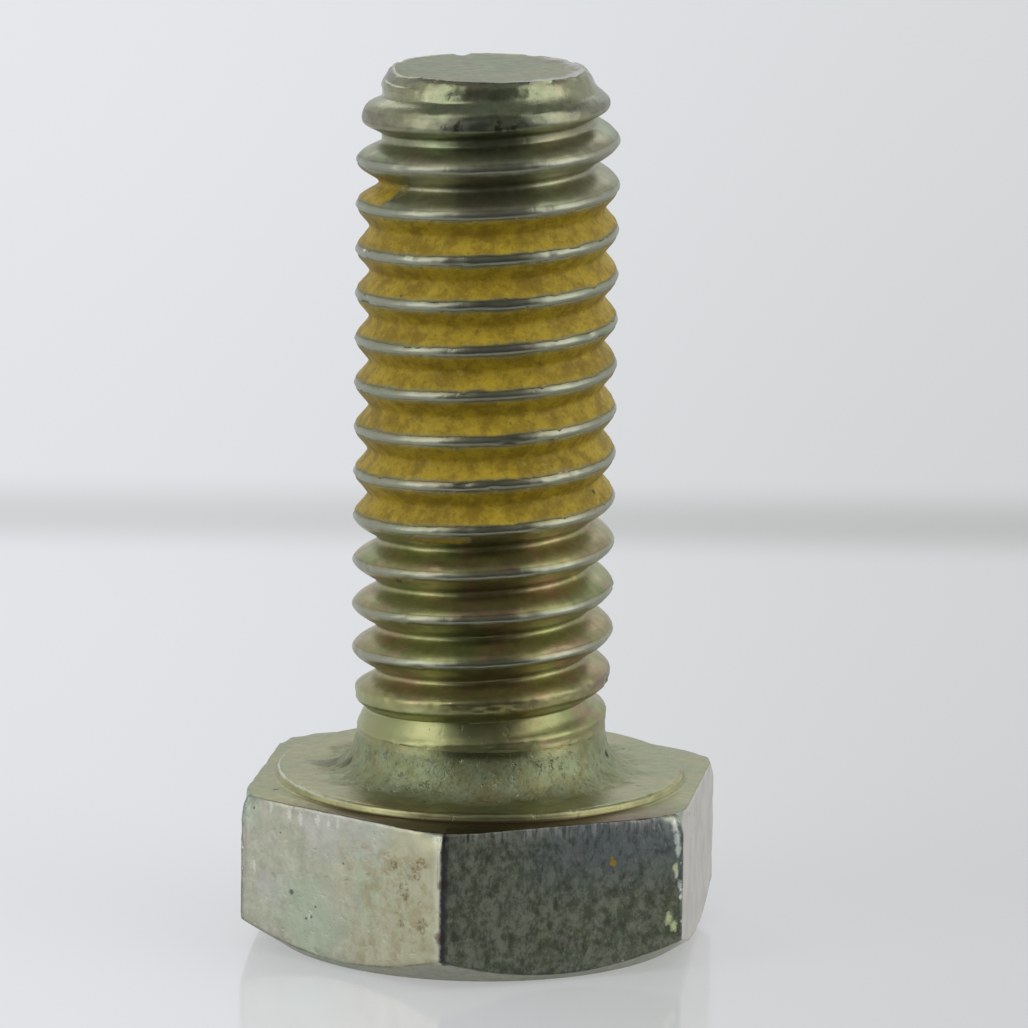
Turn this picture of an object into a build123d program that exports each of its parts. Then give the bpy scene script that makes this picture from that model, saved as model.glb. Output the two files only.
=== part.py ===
"""Metric hex head screw, threaded to the neck, with a dried locking patch on its thread.

Frame: millimetres, +Z along the axis from head to tip.
The origin is the centre of the head's flat end, on which the screw stands.
"""
import os
from math import ceil, cos, pi, radians, tan

from build123d import *

# ---- head ---------------------------------------------------------------
across_flats = 9.87          # between opposite flats of the hexagon
hex_height = 3.56            # flat end to the shoulder beside the washer face
end_circle_diameter = 9.24   # flat end inside its chamfer
end_chamfer_angle = 33.0     # slope of that chamfer against the flat end
corner_rollover = 0.19       # how far the trimmed corners round in at the shoulder
rollover_height = 0.45       # how far down the corner that rounding starts
washer_face_diameter = 9.08  # raised bearing face
washer_face_height = 0.19

# ---- neck ---------------------------------------------------------------
blank_diameter = 5.54        # plain ring between the fillet and the thread
fillet_rise = 0.95           # height of the hollow fillet below that ring
fillet_reach = 0.68          # how far the fillet spreads on the bearing face

# ---- right hand thread --------------------------------------------------
major_diameter = 5.86
pitch = 1.00
thread_depth = 0.53
root_flat = 0.15
flank_angle = 30.0           # each flank against a plane across the axis
groove_phase = 0.276         # the groove's path starts on +X, this far under the ring
past_crest = 0.05            # how far the cutters reach past what they trim
run_out = 0.90               # height over which the groove fades towards the ring
swell = 2.00                 # height over which the rolled crests reach full size

# ---- point --------------------------------------------------------------
shank_length = 15.75         # bearing face to end face
end_face_diameter = 4.66
point_chamfer = 0.55         # height of the steep part of the point
shoulder_diameter = 5.50     # where the steep part ends
point_taper = 1.05           # height of the slow taper under it

# ---- dried locking patch ------------------------------------------------
bare_turns = 5               # turns of the groove left bare next to the head
patch_turns = 7              # turns that the patch fills
patch_thickness = 0.24       # over the bottom of the groove

# ---- sizes that follow --------------------------------------------------
corner_radius = across_flats / 2 / cos(pi / 6)
major_radius = major_diameter / 2
root_radius = major_radius - thread_depth
blank_radius = blank_diameter / 2
bearing_face = hex_height + washer_face_height
neck_top = bearing_face + fillet_rise
tip = bearing_face + shank_length


groove_start = neck_top - groove_phase


def half_width(radius):
    """Half the groove's width between its flanks, at a distance from the axis."""
    return root_flat / 2 + (radius - root_radius) * tan(radians(flank_angle))


# ---- one turn of the thread groove, as a cutter -------------------------
groove_reach = major_radius + past_crest
with BuildPart() as groove_turn:
    with BuildLine():
        groove_path = Helix(pitch, pitch, root_radius, center=(0, 0, groove_start))
    with BuildSketch(Plane.XZ):
        with BuildLine():
            Polyline(
                (root_radius, groove_start - half_width(root_radius)),
                (groove_reach, groove_start - half_width(groove_reach)),
                (groove_reach, groove_start + half_width(groove_reach)),
                (root_radius, groove_start + half_width(root_radius)),
                close=True,
            )
        make_face()
    sweep(path=groove_path, is_frenet=True)

# ---- screw --------------------------------------------------------------
with BuildPart() as screw:
    # blank of the shank, from the ring up to the end face
    with BuildSketch(Plane.XZ):
        with BuildLine():
            Polyline(
                (0, bearing_face),
                (blank_radius, bearing_face),
                (blank_radius, neck_top),
                (major_radius, neck_top + swell),
                (major_radius, tip - point_chamfer - point_taper),
                (shoulder_diameter / 2, tip - point_chamfer),
                (end_face_diameter / 2, tip),
                (0, tip),
                close=True,
            )
        make_face()
    revolve(axis=Axis.Z)

    # the groove, turn after turn, out through the end face
    turns = ceil((tip - groove_start + half_width(groove_reach)) / pitch)
    with Locations(*[(0, 0, turn * pitch) for turn in range(turns)]):
        add(groove_turn.part, mode=Mode.SUBTRACT)

    # run-out, ring and hollow fillet: the groove fades up a cone that ends inside the core
    cone_top_radius = root_radius / 2
    cone_height = run_out * (blank_radius - cone_top_radius) / (blank_radius - root_radius)
    with BuildSketch(Plane.XZ):
        with BuildLine():
            Line((0, bearing_face), (blank_radius + fillet_reach, bearing_face))
            EllipticalCenterArc(
                (blank_radius + fillet_reach, neck_top), fillet_reach, fillet_rise,
                start_angle=180, arc_size=90,
            )
            Polyline(
                (blank_radius, neck_top),
                (cone_top_radius, neck_top + cone_height),
                (0, neck_top + cone_height),
                (0, bearing_face),
            )
        make_face()
    revolve(axis=Axis.Z)

    # hexagon with corners on the Y axis
    with BuildSketch():
        RegularPolygon(corner_radius, 6, rotation=30)
    extrude(amount=hex_height)
    # chamfered flat end and rounded-in corners at the shoulder
    beyond = corner_radius + past_crest
    with BuildSketch(Plane.XZ):
        with BuildLine():
            Polyline(
                (end_circle_diameter / 2, 0),
                (beyond, 0),
                (beyond, (beyond - end_circle_diameter / 2) * tan(radians(end_chamfer_angle))),
                close=True,
            )
        make_face()
        with BuildLine():
            Polyline(
                (corner_radius, hex_height - rollover_height),
                (corner_radius - corner_rollover, hex_height),
                (beyond, hex_height),
                (beyond, hex_height - rollover_height),
                close=True,
            )
        make_face()
    revolve(axis=Axis.Z, mode=Mode.SUBTRACT)

    # washer face
    with BuildSketch(Plane.XY.offset(hex_height)):
        Circle(washer_face_diameter / 2)
    extrude(amount=washer_face_height)
screw.part.label = "screw"

# ---- locking patch: one turn of dried resin in the groove, then all of them
patch_start = groove_start + bare_turns * pitch
patch_radius = root_radius + patch_thickness
with BuildPart() as patch_turn:
    with BuildLine():
        patch_path = Helix(pitch, pitch, root_radius, center=(0, 0, patch_start))
    with BuildSketch(Plane.XZ):
        with BuildLine():
            Polyline(
                (root_radius, patch_start - half_width(root_radius)),
                (patch_radius, patch_start - half_width(patch_radius)),
                (patch_radius, patch_start + half_width(patch_radius)),
                (root_radius, patch_start + half_width(root_radius)),
                close=True,
            )
        make_face()
    sweep(path=patch_path, is_frenet=True)

with BuildPart() as locking_patch:
    with Locations(*[(0, 0, turn * pitch) for turn in range(patch_turns)]):
        add(patch_turn.part)
locking_patch.part.label = "locking_patch"

os.makedirs("parts", exist_ok=True)
export_step(screw.part, "parts/screw.step")
export_step(locking_patch.part, "parts/locking_patch.step")
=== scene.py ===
import math
import random

import bmesh
import bpy
from mathutils import Matrix, Vector, noise


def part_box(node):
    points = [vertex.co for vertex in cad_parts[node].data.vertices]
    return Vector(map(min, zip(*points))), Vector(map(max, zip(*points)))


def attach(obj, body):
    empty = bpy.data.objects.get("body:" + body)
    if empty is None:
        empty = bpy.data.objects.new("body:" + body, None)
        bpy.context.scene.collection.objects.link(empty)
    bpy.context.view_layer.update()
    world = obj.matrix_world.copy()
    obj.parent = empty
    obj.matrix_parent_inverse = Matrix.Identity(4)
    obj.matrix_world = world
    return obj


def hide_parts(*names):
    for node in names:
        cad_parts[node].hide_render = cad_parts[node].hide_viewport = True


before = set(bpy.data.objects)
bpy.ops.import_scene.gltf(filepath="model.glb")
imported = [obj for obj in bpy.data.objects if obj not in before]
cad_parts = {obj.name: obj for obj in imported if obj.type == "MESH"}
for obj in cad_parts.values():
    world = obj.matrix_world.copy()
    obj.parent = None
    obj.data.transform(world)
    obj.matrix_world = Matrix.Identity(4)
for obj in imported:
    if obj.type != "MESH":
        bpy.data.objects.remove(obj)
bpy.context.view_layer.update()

MM = 0.001

# The screw's sizes in millimetres, the outer ones read from the frame
screw_low, screw_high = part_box("screw")
patch_low, patch_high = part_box("locking_patch")
ACROSS_FLATS = (screw_high.x - screw_low.x) / MM
ACROSS_CORNERS = (screw_high.y - screw_low.y) / MM
TIP = screw_high.z / MM
PATCH_RADIUS = patch_high.x / MM

HEX_HEIGHT = 3.56
END_CIRCLE_RADIUS = 4.62
END_CHAMFER_ANGLE = 33.0
CORNER_ROLLOVER = 0.19
ROLLOVER_HEIGHT = 0.45
WASHER_RADIUS = 4.54
WASHER_HEIGHT = 0.19
BLANK_RADIUS = 2.77
FILLET_RISE = 0.95
FILLET_REACH = 0.68
MAJOR_RADIUS = 2.93
ROOT_RADIUS = 2.40
PITCH = 1.00
ROOT_FLAT = 0.15
FLANK_ANGLE = 30.0
FIRST_CREST = 18.924
RUN_OUT = 0.90
SWELL = 2.00
END_FACE_RADIUS = 2.33
POINT_CHAMFER = 0.55
SHOULDER_RADIUS = 2.75
POINT_TAPER = 1.05

BEARING_FACE = HEX_HEIGHT + WASHER_HEIGHT
NECK_TOP = BEARING_FACE + FILLET_RISE
FIRST_GROOVE = FIRST_CREST - PITCH / 2
FLAT_RADIUS = ACROSS_FLATS / 2
CORNER_RADIUS = ACROSS_CORNERS / 2
END_CHAMFER_SLOPE = math.tan(math.radians(END_CHAMFER_ANGLE))
CORNER_CHAMFER_TOP = (CORNER_RADIUS - END_CIRCLE_RADIUS) * END_CHAMFER_SLOPE

THREAD_STEPS = 184
FILM_STEPS = 320
HEAD_STEPS = 408
WELD_REACH = 0.002
THREAD_FINISH, NECK_FINISH, HEAD_FINISH, END_FINISH = range(4)


# ---- small tools

def between(low, high, share):
    return low + (high - low) * share


def spaced(low, high, steps):
    return [between(low, high, step / steps) for step in range(steps + 1)]


def eased(low, high, value):
    """0 at low, 1 at high, and smooth at both ends."""
    share = min(1.0, max(0.0, (value - low) / (high - low)))
    return share * share * (3.0 - 2.0 * share)


def lesser(a, b, blend):
    """The lesser of two, rounded where they cross."""
    share = min(1.0, max(0.0, 0.5 + 0.5 * (b - a) / blend))
    return between(b, a, share) - blend * share * (1.0 - share)


def greater(a, b, blend):
    return -lesser(-a, -b, blend)


def along(stations, place):
    """Reads a short list of (place, amount) pairs, in straight lines from one to the next."""
    for (start, first), (end, last) in zip(stations, stations[1:]):
        if place <= end:
            return between(first, last, min(1.0, max(0.0, (place - start) / (end - start))))
    return stations[-1][1]


def lumps(x, y, z, size, seed=0.0):
    """Smooth noise from about -1 to 1, with lumps about size millimetres across."""
    return noise.noise(Vector((x / size + seed, y / size - seed, z / size + 0.5 * seed)))


def verts_in(made):
    return [g for g in made if isinstance(g, bmesh.types.BMVert)]


def wire(bm, points):
    """A chain of edges through (radius, height) points, in the half plane through the axis and +X."""
    verts = [bm.verts.new((radius, 0.0, height)) for radius, height in points]
    for pair in zip(verts, verts[1:]):
        bm.edges.new(pair)
    return verts


def turned(bm, steps, sectors, rise=0.0):
    """Turns everything in bm once about the axis, as it climbs by rise: a sector is spun, then copied."""
    spun = steps // sectors
    bmesh.ops.spin(
        bm, geom=bm.verts[:] + bm.edges[:] + bm.faces[:], cent=(0, 0, 0), axis=(0, 0, 1),
        dvec=(0, 0, rise / steps), angle=2 * math.pi / sectors, steps=spun, use_merge=False,
    )
    sector = bm.verts[:] + bm.edges[:] + bm.faces[:]
    for copy in range(1, sectors):
        made = bmesh.ops.duplicate(bm, geom=sector)["geom"]
        verts = verts_in(made)
        turn = Matrix.Rotation(2 * math.pi * copy / sectors, 3, "Z")
        bmesh.ops.rotate(bm, cent=(0, 0, 0), matrix=turn, verts=verts)
        bmesh.ops.translate(bm, vec=(0, 0, rise * copy / sectors), verts=verts)
    bmesh.ops.remove_doubles(bm, verts=bm.verts, dist=WELD_REACH)


def repeated(bm, count, pitch):
    """Copies everything in bm up the axis, count times in all."""
    first = bm.verts[:] + bm.edges[:]
    for turn in range(1, count):
        made = bmesh.ops.duplicate(bm, geom=first)["geom"]
        bmesh.ops.translate(bm, vec=(0, 0, turn * pitch), verts=verts_in(made))
    bmesh.ops.remove_doubles(bm, verts=bm.verts, dist=WELD_REACH)


def open_ring(bm, height, reach):
    """The edges of an open end that lie at one height."""
    return [
        edge for edge in bm.edges
        if edge.is_boundary and all(abs(v.co.z - height) < reach for v in edge.verts)
    ]


def at(angle, radius, height):
    return Vector((radius * math.cos(angle), radius * math.sin(angle), height))


def polar(point):
    """A point's angle round the axis, its distance from it and its height."""
    return math.atan2(point.y, point.x), math.hypot(point.x, point.y), point.z


def linked(name, data):
    """Puts data in the scene as an object."""
    made = bpy.data.objects.new(name, data)
    bpy.context.scene.collection.objects.link(made)
    return made


def added(name, bm, materials):
    """Makes a mesh that is already in metres an object of the scene."""
    mesh = bpy.data.meshes.new(name)
    bm.to_mesh(mesh)
    bm.free()
    for material in materials:
        mesh.materials.append(material)
    return linked(name, mesh)


def finished(name, bm, materials, sharp_angle):
    """Makes a mesh in millimetres a smooth piece, in metres, that rides on the part's only body."""
    bmesh.ops.recalc_face_normals(bm, faces=bm.faces)
    bmesh.ops.scale(bm, vec=(MM, MM, MM), verts=bm.verts)
    piece = added(name, bm, materials)
    piece.data.shade_smooth()
    piece.data.set_sharp_from_angle(angle=math.radians(sharp_angle))
    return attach(piece, "root")


# ---- the rolled thread

CREST_ROUNDING = 0.34
ROOT_ROUNDING = 0.12
PROFILE_OFFSETS = (0.0, 0.05, 0.09, 0.13, 0.19, 0.25, 0.30, 0.34, 0.38, 0.42, 0.46, 0.50)
RIM_RADIUS = END_FACE_RADIUS - 0.20
RIM_DEPTH = 0.35
GROOVE_START = TIP - 0.35
POINT_DRAW = 0.11
KNOCK_SEED = 7
KNOCK_COUNT = 260
RIM_NICKS = (
    (72.0, 0.02), (115.0, 0.05), (40.0, 0.03), (15.0, 0.04), (-20.0, 0.03), (165.0, 0.03), (-75.0, 0.01),
)


def profile_radius(offset):
    """The thread's radius at an offset along the axis from the middle of the groove."""
    flank = ROOT_RADIUS + (abs(offset) - ROOT_FLAT / 2) / math.tan(math.radians(FLANK_ANGLE))
    above_root = greater(flank, ROOT_RADIUS - 0.03, ROOT_ROUNDING)
    return lesser(above_root, MAJOR_RADIUS + 0.018, CREST_ROUNDING)


def envelope(height):
    """The radius that the crests reach: small by the neck, then full, and tapering to the point."""
    return along(
        [
            (NECK_TOP, BLANK_RADIUS),
            (NECK_TOP + 0.45 * SWELL, BLANK_RADIUS + 0.07),
            (NECK_TOP + SWELL, MAJOR_RADIUS),
            (TIP - POINT_CHAMFER - POINT_TAPER, MAJOR_RADIUS),
            (TIP - 0.85, SHOULDER_RADIUS),
            (TIP - 0.64, SHOULDER_RADIUS - 0.09),
            (TIP - POINT_CHAMFER + 0.02, SHOULDER_RADIUS - 0.21),
            (TIP - 0.44, SHOULDER_RADIUS - 0.32),
            (TIP - 0.34, END_FACE_RADIUS + 0.02),
            (TIP - 0.20, END_FACE_RADIUS - 0.04),
            (TIP - 0.08, END_FACE_RADIUS - 0.11),
            (TIP, RIM_RADIUS),
        ],
        height,
    )


def groove_floor(height):
    """The radius under which the rolled groove doesn't go: it climbs out over the run-out."""
    return along([(NECK_TOP + 0.05, BLANK_RADIUS), (NECK_TOP + RUN_OUT, ROOT_RADIUS - 0.05)], height)


def knocks(seed, count):
    """Small dents in the crests: (angle, height, half-length, half-height, depth)."""
    draw = random.Random(seed)
    made = []
    for _ in range(count):
        made.append((
            draw.uniform(-math.pi, math.pi), draw.uniform(NECK_TOP + 0.6, TIP - 0.3),
            draw.uniform(0.08, 0.30), draw.uniform(0.06, 0.14), draw.uniform(0.02, 0.06),
        ))
    return made


KNOCKS_BY_TURN = {}
for knock in knocks(KNOCK_SEED, KNOCK_COUNT):
    KNOCKS_BY_TURN.setdefault(int(knock[1]), []).append(knock)


def knock_depth(angle, height):
    depth = 0.0
    for turn in (int(height) - 1, int(height), int(height) + 1):
        for at_angle, at_height, half_length, half_height, deep in KNOCKS_BY_TURN.get(turn, ()):
            round_by = (angle - at_angle + math.pi) % (2 * math.pi) - math.pi
            away = (round_by * MAJOR_RADIUS / half_length) ** 2 + ((height - at_height) / half_height) ** 2
            if away < 1.0:
                depth = max(depth, deep * (1.0 - away))
    return depth


def rim_damage(x, y):
    """How far the rim of the end face is knocked down: one flat bruise on the left, and a few nicks."""
    depth = 0.45 * max(0.0, -0.87 * x - 0.50 * y - 1.95)
    for turn, deep in RIM_NICKS:
        away = math.dist((x, y), at(math.radians(turn), RIM_RADIUS, 0.0)[:2])
        depth = max(depth, deep * eased(0.22, 0.05, away))
    return depth


def groove_centre(angle, height):
    """The height of the middle of the groove's turn that is nearest to a height, at an angle."""
    turn = angle / (2 * math.pi) % 1.0
    return FIRST_GROOVE + (turn - round(FIRST_GROOVE + turn - height)) * PITCH


def rolled(point):
    """Where a point of the endless thread lies on the screw, and how far its plating is rubbed away."""
    angle, radius, height = polar(point)
    if height >= TIP:
        place = at(angle, RIM_RADIUS, TIP)
        place.z -= rim_damage(place.x, place.y)
        return place, 0.3
    if height <= NECK_TOP:
        return at(angle, BLANK_RADIUS, NECK_TOP), 0.0
    limit = envelope(height)
    x, y = math.cos(angle) * MAJOR_RADIUS, math.sin(angle) * MAJOR_RADIUS
    depth = min(max((MAJOR_RADIUS - radius) / (MAJOR_RADIUS - ROOT_RADIUS), 0.0), 1.0)
    radius -= POINT_DRAW * eased(TIP - 2.3, TIP - 1.3, height) * depth ** 2
    radius = lesser(radius, limit, 0.03 + 0.15 * eased(TIP - 1.6, TIP - 1.0, height))
    radius = greater(radius, min(groove_floor(height), limit), 0.06)
    centre = groove_centre(angle, height)
    start = eased(GROOVE_START - 0.03, GROOVE_START + 0.05, centre)
    radius = between(radius, limit, start)
    on_crest = eased(limit - 0.16, limit - 0.02, radius)
    on_ridge = eased(limit - 0.085, limit - 0.010, radius) * eased(0.34, 0.42, abs(height - centre))
    radius -= on_crest * knock_depth(angle, height)
    radius -= on_crest * 0.025 * max(0.0, lumps(x, y, 1.5 * height, 0.16, 11.0))
    radius -= on_crest * 0.008 * (1.0 + lumps(x, y, height, 1.1, 3.0))
    radius -= 0.002 * (1.0 + lumps(x, y, height, 0.5, 5.0))
    height += 0.012 * lumps(x, y, height, 0.8, 17.0) * eased(NECK_TOP, NECK_TOP + 0.3, height)
    height = min(height, TIP)
    radius = min(radius, between(RIM_RADIUS, RIM_RADIUS + 0.10, (TIP - height) / 0.06))
    rubbed = on_ridge * eased(NECK_TOP + 0.9, NECK_TOP + 2.0, height)
    rubbed *= 1.0 - 0.6 * eased(TIP - 1.5, TIP - 1.1, height)
    place = at(angle, min(radius, MAJOR_RADIUS - 0.002), height)
    place.z -= rim_damage(place.x, place.y) * eased(TIP - 0.3, TIP - 0.1, height)
    return place, rubbed


def roll_thread(bm, worn):
    """One pitch of the profile is repeated up the axis, then turned once as it climbs a pitch."""
    turns_below = math.ceil((FIRST_GROOVE - NECK_TOP) / PITCH) + 1
    turns_above = 3
    offsets = [-offset for offset in reversed(PROFILE_OFFSETS[1:])] + list(PROFILE_OFFSETS)
    foot = FIRST_GROOVE - turns_below * PITCH
    wire(bm, [(profile_radius(offset), foot + offset * PITCH) for offset in offsets])
    repeated(bm, turns_below + turns_above, PITCH)
    turned(bm, THREAD_STEPS, 8, rise=PITCH)
    for vert in bm.verts:
        vert.co, vert[worn] = rolled(vert.co)
    bmesh.ops.remove_doubles(bm, verts=bm.verts, dist=0.0005)
    bmesh.ops.dissolve_degenerate(bm, edges=bm.edges, dist=0.0002)


END_FACE_RINGS = (0.975, 0.94, 0.87, 0.77, 0.66, 0.54, 0.42, 0.30, 0.18, 0.08)


def end_face_sag(x, y):
    """How far the sheared end of the blank lies under its highest point."""
    size = math.hypot(x, y) / RIM_RADIUS
    rough = 0.012 * (1.0 + lumps(x, y, 0.0, 0.5, 9.0)) + 0.006 * (1.0 + lumps(x, y, 0.0, 0.17, 4.0))
    return rough * (1.0 - 0.5 * size)


def close_end_face(bm, worn):
    """The flat end of the shank, closed in rings from its rim to the middle."""
    ring = open_ring(bm, TIP, RIM_DEPTH)
    for share in END_FACE_RINGS:
        made = bmesh.ops.extrude_edge_only(bm, edges=ring)["geom"]
        verts = verts_in(made)
        inner = set(verts)
        ring = [g for g in made if isinstance(g, bmesh.types.BMEdge) and inner.issuperset(g.verts)]
        for vert in verts:
            vert.co = at(polar(vert.co)[0], share * RIM_RADIUS, TIP)
            vert.co.z -= end_face_sag(vert.co.x, vert.co.y) + rim_damage(vert.co.x, vert.co.y)
            vert[worn] = eased(0.80, 1.0, share) * 0.6
    made = bmesh.ops.extrude_edge_only(bm, edges=ring)["geom"]
    bmesh.ops.pointmerge(bm, verts=verts_in(made), merge_co=(0, 0, TIP - end_face_sag(0.0, 0.0)))


# ---- the head

CORNER_ROUNDING = 0.10
EDGE_ROUNDING = 0.04
BRIM_DROP = 0.035
LEAN_WIDTH = 0.13
LEAN_HEIGHT = 1.3 * ROLLOVER_HEIGHT
LINES_GATHERED = 0.70
ROWS_GATHERED = 0.55


def from_corner(angle):
    """The angle from the nearest of the six corners, the first of which is on +Y."""
    return (angle - math.pi / 2 + math.pi / 6) % (math.pi / 3) - math.pi / 6


def hexagon(angle):
    """The hexagon's radius at an angle, with its corners a little rounded, as a forged head's are."""
    turn = abs(from_corner(angle))
    flat = FLAT_RADIUS / math.cos(math.pi / 6 - turn)
    centre = (FLAT_RADIUS - CORNER_ROUNDING) / math.cos(math.pi / 6)
    under = CORNER_ROUNDING ** 2 - (centre * math.sin(turn)) ** 2
    if under <= 0.0:
        return flat
    return min(flat, centre * math.cos(turn) + math.sqrt(under))


def gathered(angle):
    """Draws the mesh's lines in towards the six corners, where the shape turns fastest."""
    return angle - LINES_GATHERED * math.sin(6 * from_corner(angle)) / 6


def fitted(value, old_low, old_high, new_low, new_high, margin):
    """Moves a value from one span to another, with a margin of true width at both ends."""
    if value <= old_low + margin:
        return new_low + (value - old_low)
    if value >= old_high - margin:
        return new_high - (old_high - value)
    share = (value - old_low - margin) / (old_high - old_low - 2 * margin)
    return between(new_low + margin, new_high - margin, share)


def lean(angle, height):
    """How far the side leans in near the top of each corner, where the forging die didn't quite fill."""
    near = eased(LEAN_WIDTH, 0.0, abs(from_corner(angle)))
    rise = max(0.0, (height - HEX_HEIGHT + LEAN_HEIGHT) / LEAN_HEIGHT)
    return CORNER_ROLLOVER * near * rise * rise


def pressed(point):
    """Where a point of the turned blank lies once the head is pressed to its hexagon, and its wear."""
    turn, radius, height = polar(point)
    angle = gathered(turn)
    side = hexagon(angle)
    brim = side - lean(angle, HEX_HEIGHT)
    foot = (side - END_CIRCLE_RADIUS) * END_CHAMFER_SLOPE
    on_corner = 1.0 - eased(0.05, 0.16, abs(from_corner(angle)) * CORNER_RADIUS)
    worn = 0.0
    if height > BEARING_FACE - 0.02:
        worn = eased(WASHER_RADIUS - 0.10, WASHER_RADIUS - 0.02, radius)
    elif height > HEX_HEIGHT + 0.001:
        worn = eased(HEX_HEIGHT + 0.09, BEARING_FACE - 0.03, height)
    elif radius > WASHER_RADIUS + 0.001 and height > HEX_HEIGHT - EDGE_ROUNDING:
        radius = fitted(radius, WASHER_RADIUS, CORNER_RADIUS, WASHER_RADIUS, brim, 0.10)
        height -= BRIM_DROP * eased(brim - 0.50, brim - 0.04, radius)
        worn = eased(brim - 0.14, brim - 0.02, radius)
    elif height >= CORNER_CHAMFER_TOP - 0.001:
        inset = CORNER_RADIUS - radius
        height = fitted(height, CORNER_CHAMFER_TOP, HEX_HEIGHT, foot, HEX_HEIGHT - BRIM_DROP, 0.10)
        radius = side - inset - lean(angle, height)
        worn = max(1.0 - eased(0.02, 0.12, min(HEX_HEIGHT - height, height - foot)), on_corner)
    elif radius > END_CIRCLE_RADIUS:
        share = (radius - END_CIRCLE_RADIUS) / (CORNER_RADIUS - END_CIRCLE_RADIUS)
        radius = between(END_CIRCLE_RADIUS, side, share)
        height = (radius - END_CIRCLE_RADIUS) * END_CHAMFER_SLOPE
        worn = eased(0.90, 1.0, share)
    place = at(angle, radius, height)
    if radius > WASHER_RADIUS + 0.05:
        chip = worn * (
            0.04 * max(0.0, lumps(*place, 0.55, 21.0) - 0.1)
            + 0.03 * max(0.0, lumps(*place, 0.25, 31.0) - 0.1)
        )
        wave = 0.008 * (1.0 + lumps(*place, 1.3, 2.0))
        pitted = 0.010 * max(0.0, lumps(*place, 0.25, 6.0))
        inward = chip + (wave + pitted) * eased(0.0, 0.2, height)
        place = at(angle, radius - inward, height - (0.8 * chip if height > 2 * foot else 0.0))
    elif height > HEX_HEIGHT + 0.001:
        place.z -= 0.006 * (1.0 + lumps(*place, 0.35, 8.0))
        nick = worn * 0.03 * max(0.0, lumps(*place, 0.4, 13.0))
        place = at(angle, math.hypot(place.x, place.y) - nick, place.z - nick)
        near_neck = 1.0 - eased(FILLET_REACH * 0.7, FILLET_REACH * 1.5, radius - BLANK_RADIUS)
        near_neck *= eased(NECK_TOP, NECK_TOP - 0.15, height)
        pit = 0.05 * max(0.0, lumps(*place, 0.16, 41.0) - 0.15)
        place.z -= near_neck * pit
    place.z = max(place.z, 0.0)
    return place, worn


def head_profile():
    """The blank's profile: from the neck, over the washer face and down the side, to the end's middle."""
    points = []
    for turn in spaced(0.0, math.pi / 2, 14):
        out, down = 1 - math.cos(turn), math.sin(turn)
        points.append((BLANK_RADIUS + FILLET_REACH * out, NECK_TOP - FILLET_RISE * down))
    for out in spaced(BLANK_RADIUS + FILLET_REACH, WASHER_RADIUS - 0.12, 13)[1:]:
        points.append((out, BEARING_FACE))
    points += [
        (WASHER_RADIUS - 0.075, BEARING_FACE - 0.006),
        (WASHER_RADIUS - 0.035, BEARING_FACE - 0.024),
        (WASHER_RADIUS - 0.008, BEARING_FACE - 0.055),
        (WASHER_RADIUS, BEARING_FACE - 0.09),
        (WASHER_RADIUS, HEX_HEIGHT + 0.05),
    ]
    for out in spaced(WASHER_RADIUS + 0.03, CORNER_RADIUS - 0.08, 7):
        points.append((out, HEX_HEIGHT))
    points += [
        (CORNER_RADIUS - EDGE_ROUNDING, HEX_HEIGHT - 0.003),
        (CORNER_RADIUS - 0.3 * EDGE_ROUNDING, HEX_HEIGHT - 0.3 * EDGE_ROUNDING),
    ]
    for share in spaced(0.0, 1.0, 25):
        share -= ROWS_GATHERED * math.sin(2 * math.pi * share) / (2 * math.pi)
        points.append((CORNER_RADIUS, between(HEX_HEIGHT - EDGE_ROUNDING, CORNER_CHAMFER_TOP + 0.02, share)))
    for out in spaced(CORNER_RADIUS - 0.02, END_CIRCLE_RADIUS, 6):
        points.append((out, (out - END_CIRCLE_RADIUS) * END_CHAMFER_SLOPE))
    return points + [(radius, 0.0) for radius in (END_CIRCLE_RADIUS - 0.06, 3.5, 2.2, 1.0, 0.0)]


def turn_head(bm, worn):
    """The neck, the washer face and the head: one profile, turned, then pressed to a hexagon."""
    wire(bm, head_profile())
    turned(bm, HEAD_STEPS, 6)
    for face in bm.faces:
        above = face.calc_center_median().z > HEX_HEIGHT - 0.3 * EDGE_ROUNDING
        face.material_index = NECK_FINISH if above else HEAD_FINISH
    for vert in bm.verts:
        vert.co, vert[worn] = pressed(vert.co)


def dress_shank(bm):
    """Gives the shank's faces their finishes: the thread's, and the sheared end's."""
    for face in bm.faces:
        _, radius, height = polar(face.calc_center_median())
        if height > TIP - RIM_DEPTH and radius < 0.985 * RIM_RADIUS:
            face.material_index = END_FINISH
        elif height > NECK_TOP:
            face.material_index = THREAD_FINISH


def make_screw(materials):
    """The whole screw as one closed skin: the head is joined to the rolled shank round the neck."""
    bm = bmesh.new()
    worn = bm.verts.layers.float.new("worn")
    roll_thread(bm, worn)
    close_end_face(bm, worn)
    head = bmesh.new()
    turn_head(head, head.verts.layers.float.new("worn"))
    blank = bpy.data.meshes.new("head_blank")
    head.to_mesh(blank)
    head.free()
    bm.from_mesh(blank)
    bpy.data.meshes.remove(blank)
    bmesh.ops.bridge_loops(bm, edges=open_ring(bm, NECK_TOP, 0.03))
    dress_shank(bm)
    return finished("hex_cap_screw", bm, materials, 60.0)


# ---- the locking film

FILM_SKIN = 0.018
FILM_LEVEL = PATCH_RADIUS - 0.09
FILM_EDGE = 0.415
FILM_TOP = 17.05
FILM_FOOT = 9.66
FILM_REACH = 0.44
FILM_ROWS = 20
FILM_TURNS = 9
FILM_END_RADIUS = 2.15
SMEAR_HEIGHT = 9.14


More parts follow.
